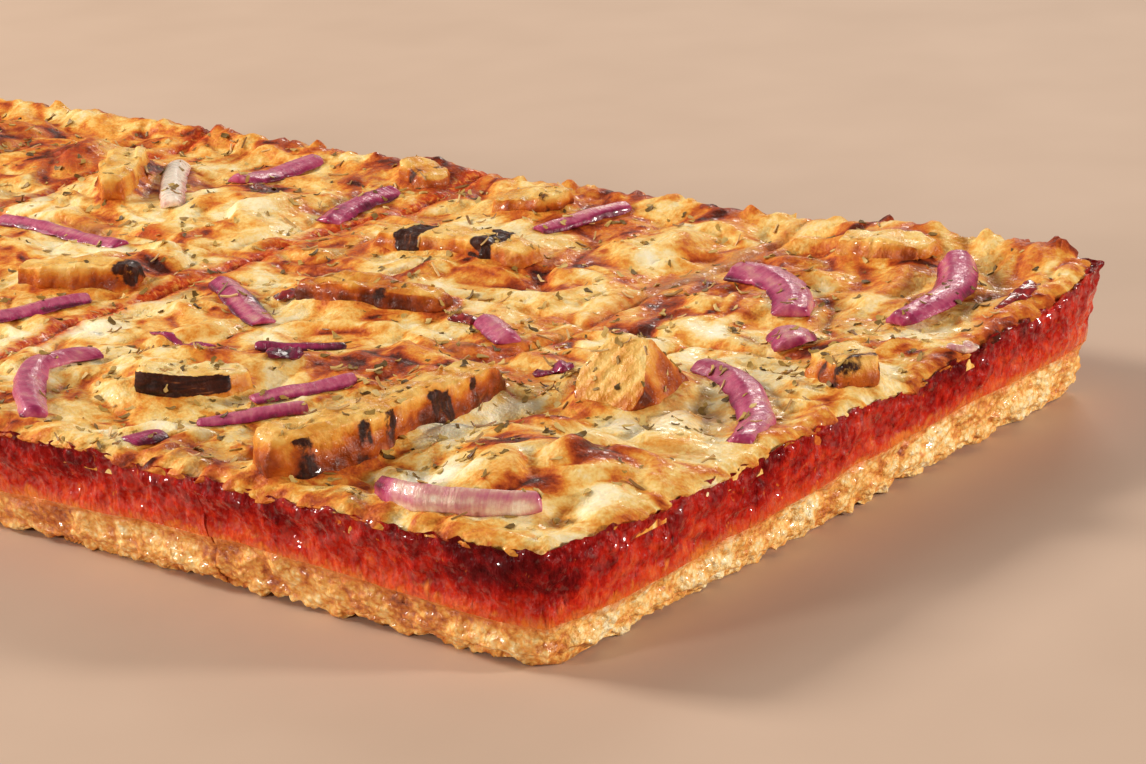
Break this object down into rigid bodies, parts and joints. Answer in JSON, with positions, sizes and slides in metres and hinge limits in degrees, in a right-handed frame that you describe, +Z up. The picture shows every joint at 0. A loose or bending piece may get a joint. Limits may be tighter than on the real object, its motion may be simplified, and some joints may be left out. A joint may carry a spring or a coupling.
{
  "type": "detroit-style bbq chicken pizza",
  "caption": "Rectangular deep-pan pizza with a golden crust, a red caramelised sauce rim, toasted cheese, grilled chicken, red onion and herbs, cut into slices",
  "frame": {"origin": "Centre of the underside of the whole pizza, on the surface that it lies on.", "axes": "+X runs along the long side, +Y along the short side towards the back, +Z up. The front side faces -Y."},
  "size_m": [0.3976, 0.2182, 0.0416],
  "materials": {
    "crust": "dry baked bread, golden and pitted",
    "sauce": "glossy caramelised sauce",
    "cheese": "melted and toasted, oily sheen",
    "chicken": "grilled, moist, charred marks",
    "onion": "cooked, smooth and wet"
  },
  "bodies": {
    "root": {"crust_front_1": "crust", "sauce_front_1": "sauce", "cheese_front_1": "cheese", "crust_front_2": "crust", "sauce_front_2": "sauce", "cheese_front_2": "cheese", "crust_front_3": "crust", "sauce_front_3": "sauce", "cheese_front_3": "cheese", "crust_front_4": "crust", "sauce_front_4": "sauce", "cheese_front_4": "cheese", "crust_back_1": "crust", "sauce_back_1": "sauce", "cheese_back_1": "cheese", "crust_back_2": "crust", "sauce_back_2": "sauce", "cheese_back_2": "cheese", "crust_back_3": "crust", "sauce_back_3": "sauce", "cheese_back_3": "cheese", "crust_back_4": "crust", "sauce_back_4": "sauce", "cheese_back_4": "cheese", "chicken_01": "chicken", "chicken_02": "chicken", "chicken_03": "chicken", "chicken_04": "chicken", "chicken_05": "chicken", "chicken_06": "chicken", "chicken_07": "chicken", "chicken_08": "chicken", "chicken_09": "chicken", "chicken_10": "chicken", "chicken_11": "chicken", "chicken_12": "chicken", "chicken_13": "chicken", "chicken_14": "chicken", "onion_01": "onion", "onion_02": "onion", "onion_03": "onion", "onion_04": "onion", "onion_05": "onion", "onion_06": "onion", "onion_07": "onion", "onion_08": "onion", "onion_09": "onion", "onion_10": "onion", "onion_11": "onion", "onion_12": "onion", "onion_13": "onion", "onion_14": "onion", "onion_15": "onion", "onion_16": "onion", "onion_17": "onion", "onion_18": "onion", "onion_19": "onion", "onion_20": "onion", "onion_21": "onion", "onion_22": "onion"}
  },
  "joints": []
}
